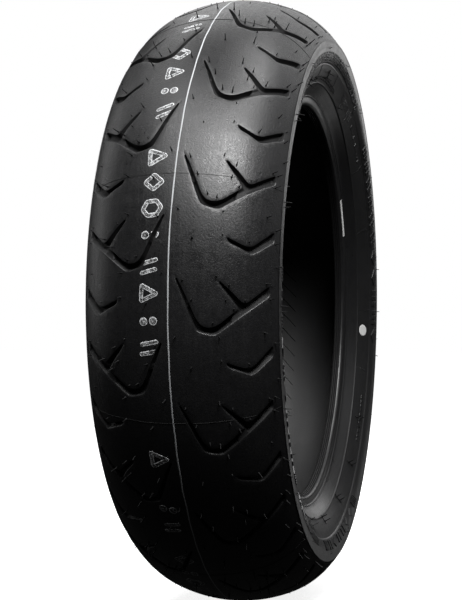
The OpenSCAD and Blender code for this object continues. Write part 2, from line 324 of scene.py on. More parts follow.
# painted shade: the bead seat band gets a much darker base colour than the chafer around it; it is also rougher and
# less shiny
M_SEAT_SHADE = rubber("seat_shade_rubber", (0.0030, 0.0030, 0.0032), 0.72, grain=0.5, scuff=0.10, spec=0.16, speckle=0.35)
M_LINER = rubber("liner_rubber", (0.010, 0.010, 0.0104), 0.46, grain=0.22, scuff=0.10, spec=0.5)
# painted shade: the bladder vent ridges of the liner get a near-black base colour, for the shade beside them
M_LINE = rubber("liner_line_shade_rubber", (0.0018, 0.0018, 0.0019), 0.85, grain=0.1, scuff=0.02, spec=0.08)
M_BASE = rubber("base_rubber", (0.02, 0.02, 0.021), 0.7, grain=0.2)
M_BEAD = rubber("bead_rubber", (0.018, 0.018, 0.02), 0.7, grain=0.2)
M_CAPPLY = cord_rubber("nylon_cord", (0.42, 0.30, 0.14), 160.0, 0)
M_BELT = cord_rubber("belt_cord", (0.30, 0.28, 0.24), 140.0, 66)
M_PLY = cord_rubber("ply_cord", (0.48, 0.43, 0.31), 140.0, 90)
M_STRIPE = paint("stripe_paint", (0.40, 0.41, 0.42), broken=0.36, scale=700.0)
M_MARK = paint("mark_paint", (0.62, 0.63, 0.64), broken=0.600, scale=1150.0, edge_attr=True)
M_DOT = paint("dot_paint", (0.66, 0.66, 0.65), broken=0.22, scale=1500.0)
M_LABEL = paint("label_paper", (0.80, 0.80, 0.79), broken=0.25, scale=1200.0)


def steel(name):
    m, nt, bsdf = nodes_of(name)
    tc = N(nt, "ShaderNodeTexCoord")
    n = noise(nt, tc.outputs["Object"], 240, 4)
    nt.links.new(ramp(nt, n, [(0.3, (0.30, 0.22, 0.13)), (0.7, (0.52, 0.40, 0.25))]), bsdf.inputs["Base Color"])
    bsdf.inputs["Metallic"].default_value = 0.9
    nt.links.new(ramp(nt, n, [(0.3, 0.3), (0.7, 0.45)]), bsdf.inputs["Roughness"])
    bump(nt, bsdf, [(n, 0.2, 0.0002)])
    return m


M_STEEL = steel("bead_wire")

for node, mat in {
    "tread_base": M_BASE, "cap_ply": M_CAPPLY, "belt_outer": M_BELT, "belt_inner": M_BELT,
    "belt_cushion_left": M_BASE, "belt_cushion_right": M_BASE, "carcass_ply_outer": M_PLY,
    "carcass_ply_inner": M_PLY, "bead_core_left": M_STEEL, "bead_core_right": M_STEEL,
    "bead_wrap_left": M_BEAD, "bead_wrap_right": M_BEAD, "bead_filler_left": M_BEAD, "bead_filler_right": M_BEAD,
}.items():
    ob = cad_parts[node]
    if not ob.material_slots:
        ob.data.materials.append(mat)
    for s in ob.material_slots:
        s.material = mat

# ------------------------------------------------------------------ tread pattern
# Outlines in (distance from the centre line in mm, degrees round the tyre), right half.
BIG = [(5.2, 4.3), (7.6, 3.7), (13, 1.9), (17.6, 0.1), (23.5, -2.4), (26, -3.3), (29.5, -4.1),
       (33.5, -4.45), (38, -4.5), (42, -4.3), (46, -3.9), (60.8, -1.75),
       (62.2, -1.45), (60, -0.85), (55.5, 0.3), (48, 2.0), (44.6, 2.95), (44, 3.45), (46.5, 3.15), (55, 1.75),
       (64, 0.05), (67, -0.45), (69.5, -0.5), (72, -0.3), (91, 2.3), (94, 2.6), (94.6, 0.95), (92.5, 0.5),
       (66, -2.7), (57, -3.9), (44, -5.6), (42, -5.8), (37, -5.75), (32, -5.5), (27.5, -5.25), (25, -4.9),
       (23, -4.2), (18, -2.0), (10.5, 1.5), (6.5, 3.3)]
CHEV = [(50, 10.75), (53.5, 10.45), (60, 9.95), (66, 9.5), (70, 9.35), (74, 9.4), (77.5, 9.8),
        (96.5, 12.7), (97.5, 12.6), (97.6, 10.9), (96.5, 10.6), (80, 8.5), (76, 8.1), (73, 8.0),
        (69, 8.3), (62, 8.95), (54, 9.55), (51.5, 10.0)]
TIE = [(60.8, -1.2), (62.6, -1.1), (65.4, -1.9), (67.2, -2.4), (66.5, -3.2), (57, -4.3), (55.6, -3.6), (57.2, -2.7)]
WEAR = [(15.2, -0.1), (20.6, -0.1), (22.6, -1.1), (17.2, -1.1)]
TPD = 5.2  # mm of surface for one degree, near enough everywhere for offsets
DEG0 = 4.58  # an angle that no groove crosses, where one pitch joins the next
DEPTH_C, DEPTH_E = 6.0, 3.6


def resample(poly, step, rounds=2):
    """Closed outline in mm, sampled every step, corners eased."""
    P = [np.array((s, d * TPD)) for s, d in poly]
    out = []
    for i in range(len(P)):
        a, b = P[i], P[(i + 1) % len(P)]
        n = max(1, int(round(np.linalg.norm(b - a) / step)))
        out += [a + (b - a) * k / n for k in range(n)]
    Q = np.array(out)
    for _ in range(rounds):
        Q = 0.5 * Q + 0.25 * (np.roll(Q, 1, 0) + np.roll(Q, -1, 0))
    return Q


def seg_dist(pts, Q):
    """Signed distance (inside positive) of pts to closed outline Q, and the index of the nearest piece."""
    A, B = Q, np.roll(Q, -1, 0)
    d = B - A
    L = (d ** 2).sum(1)
    best = np.full(len(pts), 1e9)
    idx = np.zeros(len(pts), int)
    inside = np.zeros(len(pts), bool)
    for i in range(len(Q)):
        ap = pts - A[i]
        t = np.clip((ap @ d[i]) / max(L[i], 1e-9), 0, 1)
        e = ap - t[:, None] * d[i]
        dd = (e ** 2).sum(1)
        m = dd < best
        best[m] = dd[m]
        idx[m] = i
        ya, yb = A[i][1], B[i][1]
        c = (ya > pts[:, 1]) != (yb > pts[:, 1])
        with np.errstate(divide="ignore", invalid="ignore"):
            xc = A[i][0] + (pts[:, 1] - ya) / (yb - ya) * (B[i][0] - A[i][0])
        inside ^= c & (pts[:, 0] < xc)
    s = np.sqrt(best)
    return np.where(inside, s, -s), idx


def wrap(poly_mm):
    """Moves an outline by whole pitches so that it lies inside the pitch that ends at DEG0."""
    hi = poly_mm[:, 1].max()
    k = math.floor((DEG0 * TPD - hi) / (PITCH * TPD) + 1e-9)
    return poly_mm + np.array([0.0, k * PITCH * TPD]) if hi > DEG0 * TPD or True else poly_mm


def both_sides(poly, step, rounds=2):
    right = resample(poly, step, rounds)
    left = resample([(-s, d + PITCH / 2) for s, d in poly][::-1], step, rounds)
    out = []
    for q in (right, left):
        top = DEG0 * TPD
        while q[:, 1].max() > top:
            q = q - np.array([0.0, PITCH * TPD])
        while q[:, 1].max() < top - PITCH * TPD:
            q = q + np.array([0.0, PITCH * TPD])
        # make it run anticlockwise
        x, y = q[:, 0], q[:, 1]
        if (x * np.roll(y, -1) - np.roll(x, -1) * y).sum() < 0:
            q = q[::-1].copy()
        out.append(q)
    return out


OUT = both_sides(BIG, 1.15) + both_sides(CHEV, 1.15)
TIES = both_sides(TIE, 1.0, 1)
WEARS = both_sides(WEAR, 1.0, 0)


def inward_normals(Q):
    t = np.roll(Q, -1, 0) - np.roll(Q, 1, 0)
    t /= np.linalg.norm(t, axis=1)[:, None] + 1e-12
    return np.stack([-t[:, 1], t[:, 0]], 1)


# The wall on the lower edge of a groove leans more than the one on the upper edge.
SLOPE = []
for Q in OUT:
    n = inward_normals(Q)
    k = 1.0 + 1.3 * np.clip(n[:, 1], 0, 1) * np.clip((np.abs(Q[:, 0]) - 18) / 30, 0.15, 1)
    for _ in range(6):
        k = 0.5 * k + 0.25 * (np.roll(k, 1) + np.roll(k, -1))
    SLOPE.append(k)

RINGS = [-0.55, 0.0, 0.32, 1.05, 1.75, 2.9]


def groove_depth(pts):
    """Depth in mm at points (s, t), with the distance that it came from."""
    sd = np.full(len(pts), -1e9)
    for Q, k in zip(OUT, SLOPE):
        lo, hi = Q.min(0) - 4, Q.max(0) + 4
        m = ((pts >= lo) & (pts <= hi)).all(1)
        if not m.any():
            continue
        d, i = seg_dist(pts[m], Q)
        kk = np.where(d > 0, k[i], 1.0)
        d = d / kk
        cur = sd[m]
        sd[m] = np.maximum(cur, d)
    D = DEPTH_C + (DEPTH_E - DEPTH_C) * (np.abs(pts[:, 0]) / HALF) ** 2
    for polys, lim, soft in ((TIES, 1.7, 0.7), (WEARS, 3.9, 0.5)):
        for T in polys:
            lo, hi = T.min(0) - 3, T.max(0) + 3
            m = ((pts >= lo) & (pts <= hi)).all(1)
            if not m.any():
                continue
            d, _ = seg_dist(pts[m], T)
            f = np.clip((d + soft) / (2 * soft), 0, 1)
            f = f * f * (3 - 2 * f)
            D[m] = D[m] * (1 - f) + np.minimum(D[m], lim) * f
    x = sd
    dep = np.where(x < -0.55, 0.0, np.where(x < 0.0, 0.16 * ((x + 0.55) / 0.55) ** 2, 0.0))
    a = np.clip(x / 0.32, 0, 1)
    dep = np.where(x >= 0.0, 0.16 + (0.85 - 0.16) * a, dep)
    b = np.clip((x - 0.32) / (1.05 - 0.32), 0, 1)
    dep = np.where(x >= 0.32, 0.85 + (D - 0.75 - 0.85).clip(0) * b, dep)
    c = np.clip((x - 1.05) / (1.75 - 1.05), 0, 1)
    dep = np.where(x >= 1.05, np.minimum(D, (D - 0.75) + 0.75 * (1 - (1 - c) ** 2)), dep)
    return np.minimum(dep, D), sd


def pitch_mesh():
    """One pitch of the tread as triangles over (s, t), with crisp rows of points along every groove edge."""
    NB = 26
    t1, t0 = DEG0 * TPD, (DEG0 - PITCH) * TPD
    ss = np.linspace(-HALF, HALF, 57)
    coords, edges = [], []
    # border of the pitch
    bottom = [(float(s), t0) for s in ss]
    top = [(float(s), t1) for s in ss]
    tt = np.linspace(t0, t1, NB + 1)
    for s in ss:
        coords.append((float(s), t0))
    for s in ss:
        coords.append((float(s), t1))
    n = len(ss)
    edges += [(i, i + 1) for i in range(n - 1)] + [(n + i, n + i + 1) for i in range(n - 1)]
    for side, a, b in ((-HALF, 0, n), (HALF, n - 1, 2 * n - 1)):
        prev = a
        for t in tt[1:-1]:
            coords.append((side, float(t)))
            edges.append((prev, len(coords) - 1))
            prev = len(coords) - 1
        edges.append((prev, b))
    # outlines and the rows beside them
    free = []
    for Q, k in zip(OUT, SLOPE):
        base = len(coords)
        for q in Q:
            coords.append((float(q[0]), float(q[1])))
        m = len(Q)
        edges += [(base + i, base + (i + 1) % m) for i in range(m)]
    for Q, k in zip(OUT, SLOPE):
        nrm = inward_normals(Q)
        for off in RINGS:
            if off == 0.0:
                continue
            kk = k if off > 0 else np.ones(len(Q))
            P = Q + nrm * (off * kk)[:, None]
            d, i = seg_dist(P, Q)
            d = d / np.where(d > 0, k[i], 1.0)
            ok = np.abs(d - off) < 0.22 + 0.05 * abs(off)
            free.append(P[ok])
    for T, offs in [(t, (-0.7, 0.0, 0.7)) for t in TIES] + [(t, (-0.5, 0.5)) for t in WEARS]:
        nrm = inward_normals(T)
        for off in offs:
            P = T + nrm * off
            _, sd = groove_depth(P)
            free.append(P[sd > 0.7])
    # open ground and floors
    gs, gt = [], []
    rows = 28
    for j in range(1, rows):
        t = t0 + (t1 - t0) * j / rows
        for i in range(1, 56):
            s = -HALF + 2 * HALF * (i + (0.5 if j % 2 else 0.0)) / 56.0
            if abs(s) < HALF - 2.0:
                gs.append(s)
                gt.append(t)
    G = np.array([gs, gt]).T
    _, sd = groove_depth(G)
    G = G[(sd < -1.7) | (sd > 2.6)]
    pts = [p for F in free for p in F] + [g for g in G]
    # thin out points that crowd each other
    cell = 0.42
    seen = {}

    def key(p):
        return (int(math.floor(p[0] / cell)), int(math.floor(p[1] / cell)))

    for i, c in enumerate(coords):
        seen.setdefault(key(c), []).append(c)
    for p in pts:
        p = (float(p[0]), float(p[1]))
        if not (-HALF + 0.6 < p[0] < HALF - 0.6 and t0 + 0.5 < p[1] < t1 - 0.5):
            continue
        kx, ky = key(p)
        close = False
        for dx in (-1, 0, 1):
            for dy in (-1, 0, 1):
                for q in seen.get((kx + dx, ky + dy), ()):
                    if (p[0] - q[0]) ** 2 + (p[1] - q[1]) ** 2 < cell * cell:
                        close = True
                        break
                if close:
                    break
            if close:
                break
        if not close:
            seen.setdefault((kx, ky), []).append(p)
            coords.append(p)
    V, E, F, oV, oE, oF = delaunay_2d_cdt([Vector(c) for c in coords], edges, [], 0, 1e-5)
    P = np.array([(v[0], v[1]) for v in V])
    # keep the border exact
    return P, [tuple(f) for f in F], ss, tt, t0, t1


def build_tread():
    P, F, ss, tt, t0, t1 = pitch_mesh()
    dep, sd = groove_depth(P)
    w, r = crown_np(P[:, 0], dep)
    deg = P[:, 1] / TPD
    nv = len(P)
    lo = np.where(np.abs(P[:, 1] - t0) < 1e-3)[0]
    hi = np.where(np.abs(P[:, 1] - t1) < 1e-3)[0]
    lo = lo[np.argsort(P[lo, 0])]
    hi = hi[np.argsort(P[hi, 0])]
    assert len(lo) == len(hi), (len(lo), len(hi))
    lo_of_hi = dict(zip(hi.tolist(), lo.tolist()))
    # vertices on the upper border are those on the next pitch's lower border
    keep = [i for i in range(nv) if i not in lo_of_hi]
    pos = {v: k for k, v in enumerate(keep)}
    m = len(keep)
    verts, faces, sunk = [], [], []
    for p in range(17):
        sunk += np.clip(dep[keep] / 1.6, 0, 1).tolist()
        a = (deg[keep] + p * PITCH) * DEG
        verts += list(zip((r[keep] * np.cos(a) * MM).tolist(), (w[keep] * MM).tolist(), (r[keep] * np.sin(a) * MM).tolist()))
    for p in range(17):
        b0, b1 = p * m, ((p + 1) % 17) * m
        for f in F:
            faces.append(tuple(b0 + pos[v] if v in pos else b1 + pos[lo_of_hi[v]] for v in f))
    # rims of the surface, in order round the tyre
    rims = {}
    for sgn in (-1, 1):
        idx = [i for i in keep if abs(P[i, 0] - sgn * HALF) < 1e-3]
        idx.sort(key=lambda i: P[i, 1])
        rims[sgn] = [p * m + pos[i] for p in range(17) for i in idx]
        degs = [deg[i] + p * PITCH for p in range(17) for i in idx]
    return verts, faces, rims, degs, sunk


verts, faces, rims, rim_degs, sunk = build_tread()
NR = len(rim_degs)
# closed underside: end faces along the shoulder normal, then the face on the base rubber
cap_t = 7.5
inner_s = [HALF * k / 14 for k in range(-14, 15)]
base = len(verts)
for s in inner_s:
    w, r = crown(s, cap_t)
    for dg in rim_degs:
        verts.append(at(w, r, dg))
for i in range(len(inner_s) - 1):
    for j in range(NR):
        j2 = (j + 1) % NR
        faces.append((base + i * NR + j, base + i * NR + j2, base + (i + 1) * NR + j2, base + (i + 1) * NR + j))
for sgn, row in ((-1, 0), (1, len(inner_s) - 1)):
    for j in range(NR):
        j2 = (j + 1) % NR
        a, b = rims[sgn][j], rims[sgn][j2]
        c, d = base + row * NR + j2, base + row * NR + j
        faces.append((a, b, c, d) if sgn < 0 else (b, a, d, c))
tread = new_object("tread_surface", verts, faces, M_TREAD, sharp=50)
assert len(tread.data.vertices) == len(verts)
# faces down in the grooves take the darker groove material: painted shade
tread.data.materials.append(M_GROOVE_SHADE)
deep = np.array(sunk + [0.0] * (len(verts) - len(sunk)))
tread.data.polygons.foreach_set("material_index", [1 if sum(deep[v] for v in f) / len(f) > 0.34 else 0 for f in faces])
at_sunk = tread.data.attributes.new("sunk", "FLOAT", "POINT")
at_sunk.data.foreach_set("value", sunk + [0.0] * (len(verts) - len(sunk)))
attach(tread, "root")
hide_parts("tread_cap")
print("tread", len(verts), len(faces))

# ------------------------------------------------------------------ shoulder strips
def smooth_noise(seed, n=7, amp=1.0):
    g = random.Random(seed)
    terms = [(g.uniform(0, 2 * math.pi), g.randint(3, 60), g.uniform(0.3, 1)) for _ in range(n)]
    tot = sum(a for _, _, a in terms)

    def f(deg):
        return amp * sum(a * math.sin(k * deg * DEG + ph) for ph, k, a in terms) / tot
    return f


def wing_piece(side):
    """Strip beside the tread edge: a thin flash lip left by the mould joint, then the flat of the upper sidewall."""
    prof = [(90.18, 267.66), (90.30, 268.05), (90.62, 268.20), (90.80, 267.85), (90.72, 267.2),
            (90.50, 266.7), (90.52, 265.9), (90.60, 264.0), (90.68, 262.6), (90.70, 261.55),
            (84.62, 259.05), (82.5, 263.15), (83.74, 263.9)]
    ragged = smooth_noise(11 if side > 0 else 12, 9, 0.16)
    s = Soup()
    prof2 = [(side * w, r) for w, r in prof]
    if side > 0:
        prof2 = prof2[::-1]
    lip = {1, 2, 3}
    m = len(prof)

    def wob(k, dg):
        kk = m - 1 - k if side > 0 else k
        return ragged(dg) if kk in lip else 0.0
    s.ring(prof2, 442, True, wob)
    ob = new_object("shoulder_strip_" + ("right" if side > 0 else "left"), s.v, s.f, M_SIDE, sharp=40)
    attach(ob, "root")
    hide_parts("tread_wing_" + ("right" if side > 0 else "left"))
    return ob


for side in (-1, 1):
    wing_piece(side)

# ------------------------------------------------------------------ sidewalls
# Outer face from the shoulder strip down to the rim line.
OUTER = [(90.70, 261.45), (90.66, 259.2), (90.45, 257.2), (90.1, 255.0), (89.3, 252.0), (88.25, 249.2), (87.1, 246.9),
         (86.2, 245.2)]
RING5 = [(85.55, 244.75), (85.56, 244.35), (85.45, 243.9), (85.28, 243.5), (85.1, 243.2)]
BAND = [(84.75, 242.6), (83.4, 239.9), (81.8, 237.0), (80.2, 234.1), (78.4, 231.1), (76.9, 228.6), (75.7, 226.7)]
RING4 = [(75.45, 226.2), (75.75, 225.75), (75.55, 225.2), (75.0, 224.95), (74.35, 224.55)]
INNER_BACK = [(71.02, 225.62), (78.55, 236.78), (83.15, 243.6), (84.95, 250.0), (83.55, 256.0), (80.1, 261.75),
              (82.48, 263.1), (84.62, 258.95)]
face_a = catmull(OUTER, 1.6)
face_b = catmull(BAND, 1.6)
wall_outer = face_a + RING5 + face_b + RING4


def outer_point(q, wall=wall_outer):
    """Point and outward normal on the sidewall face at q mm of face length below the shoulder strip."""
    acc = 0.0
    for (w0, r0), (w1, r1) in zip(wall, wall[1:]):
        L = math.hypot(w1 - w0, r1 - r0)
        if acc + L >= q:
            f = (q - acc) / L
            t = ((w1 - w0) / L, (r1 - r0) / L)
            return (w0 + (w1 - w0) * f, r0 + (r1 - r0) * f), (-t[1], t[0])
        acc += L
    return wall[-1], (1.0, 0.0)


def q_of_radius(r, wall=wall_outer):
    acc = 0.0
    for (w0, r0), (w1, r1) in zip(wall, wall[1:]):
        L = math.hypot(w1 - w0, r1 - r0)
        if (r0 - r) * (r1 - r) <= 0 and abs(r1 - r0) > 1e-6:
            return acc + L * (r0 - r) / (r0 - r1)
        acc += L
    return acc


def face_frame(side, q, deg, wall=wall_outer):
    (w, r), (nw, nr) = outer_point(q, wall)
    return w, r, nw, nr


def raised(soup, side, outline, height, wall=wall_outer, sink=0.35, bevel=0.25):
    """A flat raised block on the sidewall. outline is a list of (q, x): face length and mm round the tyre, given with its angle."""
    n = len(outline)
    cx = sum(p[0] for p in outline) / n
    cy = sum(p[1] for p in outline) / n
    rings = []
    for shrink, h in ((0.0, -sink), (0.0, height - bevel), (bevel, height)):
        ring = []
        for q, dg in outline:
            (w, r), (nw, nr) = outer_point(q, wall)
            mmdeg = r * DEG
            vx, vy = cx - q, (cy - dg) * mmdeg
            L = math.hypot(vx, vy) + 1e-9
            q2 = q + vx / L * shrink
            d2 = dg + vy / L * shrink / mmdeg
            (w, r), (nw, nr) = outer_point(q2, wall)
            ring.append(at(side * (w + nw * h), r + nr * h, d2))
        rings.append(ring)
    verts = [p for ring in rings for p in ring]
    faces = []
    # orientation: outline anticlockwise seen from outside
    area = sum(outline[i][0] * outline[(i + 1) % n][1] - outline[(i + 1) % n][0] * outline[i][1] for i in range(n))
    rev = (area > 0) != (side > 0)
    for a in range(2):
        for i in range(n):
            j = (i + 1) % n
            f = (a * n + i, a * n + j, (a + 1) * n + j, (a + 1) * n + i)
            faces.append(f if not rev else f[::-1])
    top = tuple(2 * n + i for i in range(n))
    bot = tuple(i for i in range(n))[::-1]
    faces.append(top if not rev else top[::-1])
    faces.append(bot if not rev else bot[::-1])
    soup.add(verts, faces)


def quad(q0, q1, d0, d1, slant=0.0):
    return [(q0, d0), (q1, d0 + slant), (q1, d1 + slant), (q0, d1)]


def bent_hair(soup, p, n, t, length, rad, curl, sides=6, segs=4):
    """A vent hair: a thin tapering stem that leaves the rubber at p along n and bends towards t."""
    p, n, t = Vector(p), Vector(n).normalized(), Vector(t).normalized()
    b = n.cross(t).normalized()
    prev = None
    verts, faces = [], []
    c = p - n * 0.4 * MM
    d = n.copy()
    for k in range(segs + 1):
        f = k / segs
        rr = rad * (1.2 - 0.5 * f) if k else rad * 2.2
        u = d.cross(b).normalized()
        for i in range(sides):
            a = 2 * math.pi * i / sides
            verts.append(tuple(c + (u * math.cos(a) + b * math.sin(a)) * rr * MM))
        d = (n * math.cos(curl * f) + t * math.sin(curl * f)).normalized()
        c = c + d * (length + 0.4) / segs * MM
    for k in range(segs):
        for i in range(sides):
            j = (i + 1) % sides
            faces.append((k * sides + i, k * sides + j, (k + 1) * sides + j, (k + 1) * sides + i))
    faces.append(tuple(range(segs * sides, (segs + 1) * sides)))
    faces.append(tuple(range(sides))[::-1])
    soup.add(verts, faces)


def glyph(soup, side, kind, q0, q1, dg, wdeg, h):
    """Plain raised figures for the marked band: slanted bars, a lozenge, a hatched block, rows of studs."""
    a, b = dg - wdeg / 2, dg + wdeg / 2
    q = lambda f: q0 + (q1 - q0) * f
    x = lambda f: a + (b - a) * f
    if kind == 0:      # two slanted bars
        raised(soup, side, [(q(0), x(0.02)), (q(1), x(0.22)), (q(1), x(0.5)), (q(0), x(0.3))], h)
        raised(soup, side, [(q(0), x(0.5)), (q(1), x(0.7)), (q(1), x(0.98)), (q(0), x(0.78))], h)
    elif kind == 1:    # one wide slanted block
        raised(soup, side, [(q(0), x(0.0)), (q(1), x(0.25)), (q(1), x(1.0)), (q(0), x(0.75))], h)
    elif kind == 2:    # hatched block
        for i in range(5):
            f = i / 5
            raised(soup, side, [(q(0), x(f * 0.8)), (q(1), x(0.2 + f * 0.8)), (q(1), x(0.29 + f * 0.8)), (q(0), x(0.09 + f * 0.8))], h, bevel=0.12)
    elif kind == 3:    # lozenge
        raised(soup, side, [(q(0), x(0.5)), (q(0.5), x(0.05)), (q(1), x(0.5)), (q(0.5), x(0.95))], h)
    else:              # two rows of studs
        for f in (0.05, 0.55):
            for e in (0.02, 0.36, 0.70):
                raised(soup, side, [(q(f), x(e)), (q(f + 0.38), x(e + 0.05)), (q(f + 0.38), x(e + 0.27)), (q(f), x(e + 0.22))], h, bevel=0.15)


def mosaic(soup, side, r_top, r_bot, d0, d1, cell, rows, h, g, fill=0.8):
    """A band of small raised studs, some missing, like a fine checked panel."""
    qa, qb = q_of_radius(r_top), q_of_radius(r_bot)
    dq = (qb - qa) / rows
    dd = cell / (r_top * DEG)
    d, k = d0, 0
    while d < d1:
        for i in range(rows):
            if g.random() > fill:
                continue
            off = dd * 0.5 * (i % 2) + g.uniform(-0.1, 0.1) * dd
            q_a, q_b = qa + dq * i + 0.15 * dq, qa + dq * (i + 1) - 0.12 * dq
            raised(soup, side, [(q_a, d + off), (q_b, d + off + dd * 0.18), (q_b, d + off + dd * 0.80), (q_a, d + off + dd * 0.62)],
                   h * g.uniform(0.8, 1.15), bevel=0.12)
        d += dd
        k += 1


def sidewall_piece(side):
    s = Soup()
    prof = wall_outer + INNER_BACK
    prof = [(side * w, r) for w, r in prof]
    if side > 0:
        prof = prof[::-1]
    s.ring(prof, 442)
    g = random.Random(31 if side > 0 else 32)
    turn = 0.0 if side > 0 else 146.0

    def run(d0, d1, r_top, r_bot, wd, gap, h, kinds):
        qa, qb = q_of_radius(r_top), q_of_radius(r_bot)
        d = d0
        while d + wd < d1:
            k = g.choice(kinds)
            w_ = wd * g.uniform(0.9, 1.15)
            glyph(s, side, k, qa, qb, turn + d + w_ / 2, w_, h)
            d += w_ + gap
    # outer band: a checked panel over the top, then runs of large slanted blocks
    mosaic(s, side, 257.0, 247.0, turn + 44, turn + 121, 2.5, 4, 0.85, g, 0.82)
    mosaic(s, side, 257.0, 247.0, turn + 288, turn + 312, 2.5, 4, 0.85, g, 0.82)
    run(136, 195, 256.9, 247.4, 4.1, 0.9, 1.1, (0, 1, 2, 3, 4))
    run(239, 282, 256.9, 247.4, 4.1, 0.9, 1.15, (0, 2, 3, 2, 0))
    run(318, 372, 256.9, 247.4, 4.1, 0.9, 1.1, (0, 1, 2, 3, 4))
    # smaller figures in the plain band and under the rim line
    run(111, 123, 240.5, 234.5, 1.7, 0.7, 0.5, (0, 2, 4))
    run(125, 140, 239.5, 236.5, 0.9, 0.5, 0.4, (1, 3))
    run(207, 222, 241.0, 237.5, 0.9, 0.45, 0.4, (0, 1, 2))
    run(285, 312, 240.5, 235.5, 1.5, 0.6, 0.45, (0, 2, 4))
    run(20, 38, 240.5, 236.5, 1.2, 0.5, 0.4, (1, 3))
    mosaic(s, side, 232.6, 228.4, turn + 78, turn + 104, 1.25, 2, 0.6, g, 0.9)
    mosaic(s, side, 232.6, 228.4, turn + 324, turn + 350, 1.25, 2, 0.4, g, 0.9)
    # thin vent lines that cross the plain band
    for k, dg in enumerate([100.5, 120, 140.5, 159.7, 182.2, 199.2, 306, 324, 342, 1, 20, 39, 60, 80]):
        n = 9
        ph = g.uniform(0, 6)
        q1_, q2_ = q_of_radius(243.0), q_of_radius(227.0)
        pts = [(q1_ + (q2_ - q1_) * i / n, turn + dg + 0.35 * math.sin(ph + 4.2 * i / n) + (0.6 * i / n)) for i in range(n + 1)]
        for (qa_, da_), (qb_, db_) in zip(pts, pts[1:]):
            raised(s, side, [(qa_, da_ - 0.085), (qb_, db_ - 0.085), (qb_, db_ + 0.085), (qa_, da_ + 0.085)], 0.36, bevel=0.1)
    # vent hairs: in pairs under the shoulder, crossed pairs low on the wall
    hs = Soup()

    def hair(r_, dg, ln, curl, rad=0.33, lean=0.0):
        (w, r), (nw, nr) = outer_point(q_of_radius(r_))
        a = dg * DEG
        t = Vector((-math.sin(a), 0, math.cos(a))) + Vector((math.cos(a), 0, math.sin(a))) * lean
        bent_hair(hs, at(side * w, r, dg), (nr * math.cos(a), side * nw, nr * math.sin(a)), t, ln, rad, curl, 5, 4)
    for i in range(17):
        for off, r_, ln in ((0.0, 260.6, 7.6), (-1.3, 259.2, 5.4)):
            dg = 20.1 + i * PITCH + off + g.uniform(-0.4, 0.4) + (0 if side > 0 else PITCH / 2)
            long_ = -60 < (dg + 180) % 360 - 180 < 50
            hair(r_, dg, ln * g.uniform(0.85, 1.1) * (1.0 if long_ and side > 0 else 0.3), g.uniform(-0.35, 0.15))
    for dg, r_ in ((214.5, 236.0), (230.8, 234.6), (248.0, 231.3), (267.2, 228.5), (287.0, 233.0), (301, 231), (322, 234), (345, 230), (5, 234),
                   (27, 231), (49, 235), (70, 232), (92, 235), (113, 231)):
        hair(r_ + 2.6, turn + dg, 7.0 * g.uniform(0.85, 1.15), g.uniform(-0.5, 0.5), 0.58)
        hair(r_ - 2.2, turn + dg + 0.3, 6.4 * g.uniform(0.85, 1.15), g.uniform(-0.5, 0.5), 0.58)
        # the fine vent line that joins the pair
        q1_, q2_ = q_of_radius(r_ + 5.5), q_of_radius(r_ - 5.0)
        n, ph = 6, g.uniform(0, 6)
        pts = [(q1_ + (q2_ - q1_) * i / n, turn + dg + 0.12 * math.sin(ph + 3 * i / n)) for i in range(n + 1)]
        for (qa_, da_), (qb_, db_) in zip(pts, pts[1:]):
            raised(hs, side, [(qa_, da_ - 0.16), (qb_, db_ - 0.16), (qb_, db_ + 0.16), (qa_, da_ + 0.16)], 0.6, bevel=0.15)
    # the sidewall hairs and the vent lines between them use the darker hair material: painted shade
    hob = new_object("sidewall_hairs_" + ("right" if side > 0 else "left"), hs.v, hs.f, M_HAIR_SHADE, sharp=60)
    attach(hob, "root")
    ob = new_object("sidewall_face_" + ("right" if side > 0 else "left"), s.v, s.f, M_SIDE, sharp=38)
    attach(ob, "root")
    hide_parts("sidewall_" + ("right" if side > 0 else "left"))
    return ob


for side in (-1, 1):
    sidewall_piece(side)

# ------------------------------------------------------------------ chafers: flange hollow, heel, seat, toe
FLANGE = [(74.25, 224.45), (71.6, 221.4), (69.6, 219.2), (67.2, 216.5), (65.4, 214.2), (64.2, 211.8), (63.6, 209.4),
          (63.35, 207.0), (63.0, 205.3), (62.3, 204.0), (61.2, 203.2)]
SEAT = [(59.8, 202.85), (58.6, 202.8), (58.35, 203.05), (58.1, 202.8), (56.6, 202.8), (56.35, 203.05), (56.1, 202.8),
        (54.6, 202.8), (54.35, 203.05), (54.1, 202.8), (52.9, 202.8), (52.45, 202.95), (52.15, 203.4)]


def chafer_piece(side):
    s = Soup()
    hollow = catmull(FLANGE, 1.2)
    # a fine line half way down the flange hollow, where two mould rings meet
    k = min(range(len(hollow)), key=lambda i: abs(hollow[i][1] - 213.2))
    a, b = hollow[k], hollow[k + 1]
    hollow = hollow[:k + 1] + [(a[0] + 0.28, a[1] - 0.30), (a[0] + 0.30, a[1] - 0.75)] + [(b[0] + 0.02, b[1] - 0.1)] + hollow[k + 2:]
    prof = hollow + SEAT + [(52.1, 205.4), (52.1, 211.35), (53.28, 211.1), (53.28, 205.95), (55.25, 204.05), (60.35, 204.05),
                            (62.25, 205.95), (62.25, 211.1), (63.75, 214.0), (67.5, 218.65), (71.6, 225.1), (71.05, 225.55)]
    prof = [(side * w, r) for w, r in prof]
    if side > 0:
        prof = prof[::-1]
    s.ring(prof, 442)
    ob = new_object("chafer_face_" + ("right" if side > 0 else "left"), s.v, s.f, M_CHAFER, sharp=45)
    # faces of the bead seat take the darker seat material: painted shade
    ob.data.materials.append(M_SEAT_SHADE)
    for poly in ob.data.polygons:
        c = poly.center
        if math.hypot(c.x, c.z) < 0.20305 and abs(poly.normal.y) < 0.5 and abs(c.y) < 0.0595:
            poly.material_index = 1
    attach(ob, "root")
    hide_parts("chafer_" + ("right" if side > 0 else "left"))
    return ob


for side in (-1, 1):
    chafer_piece(side)


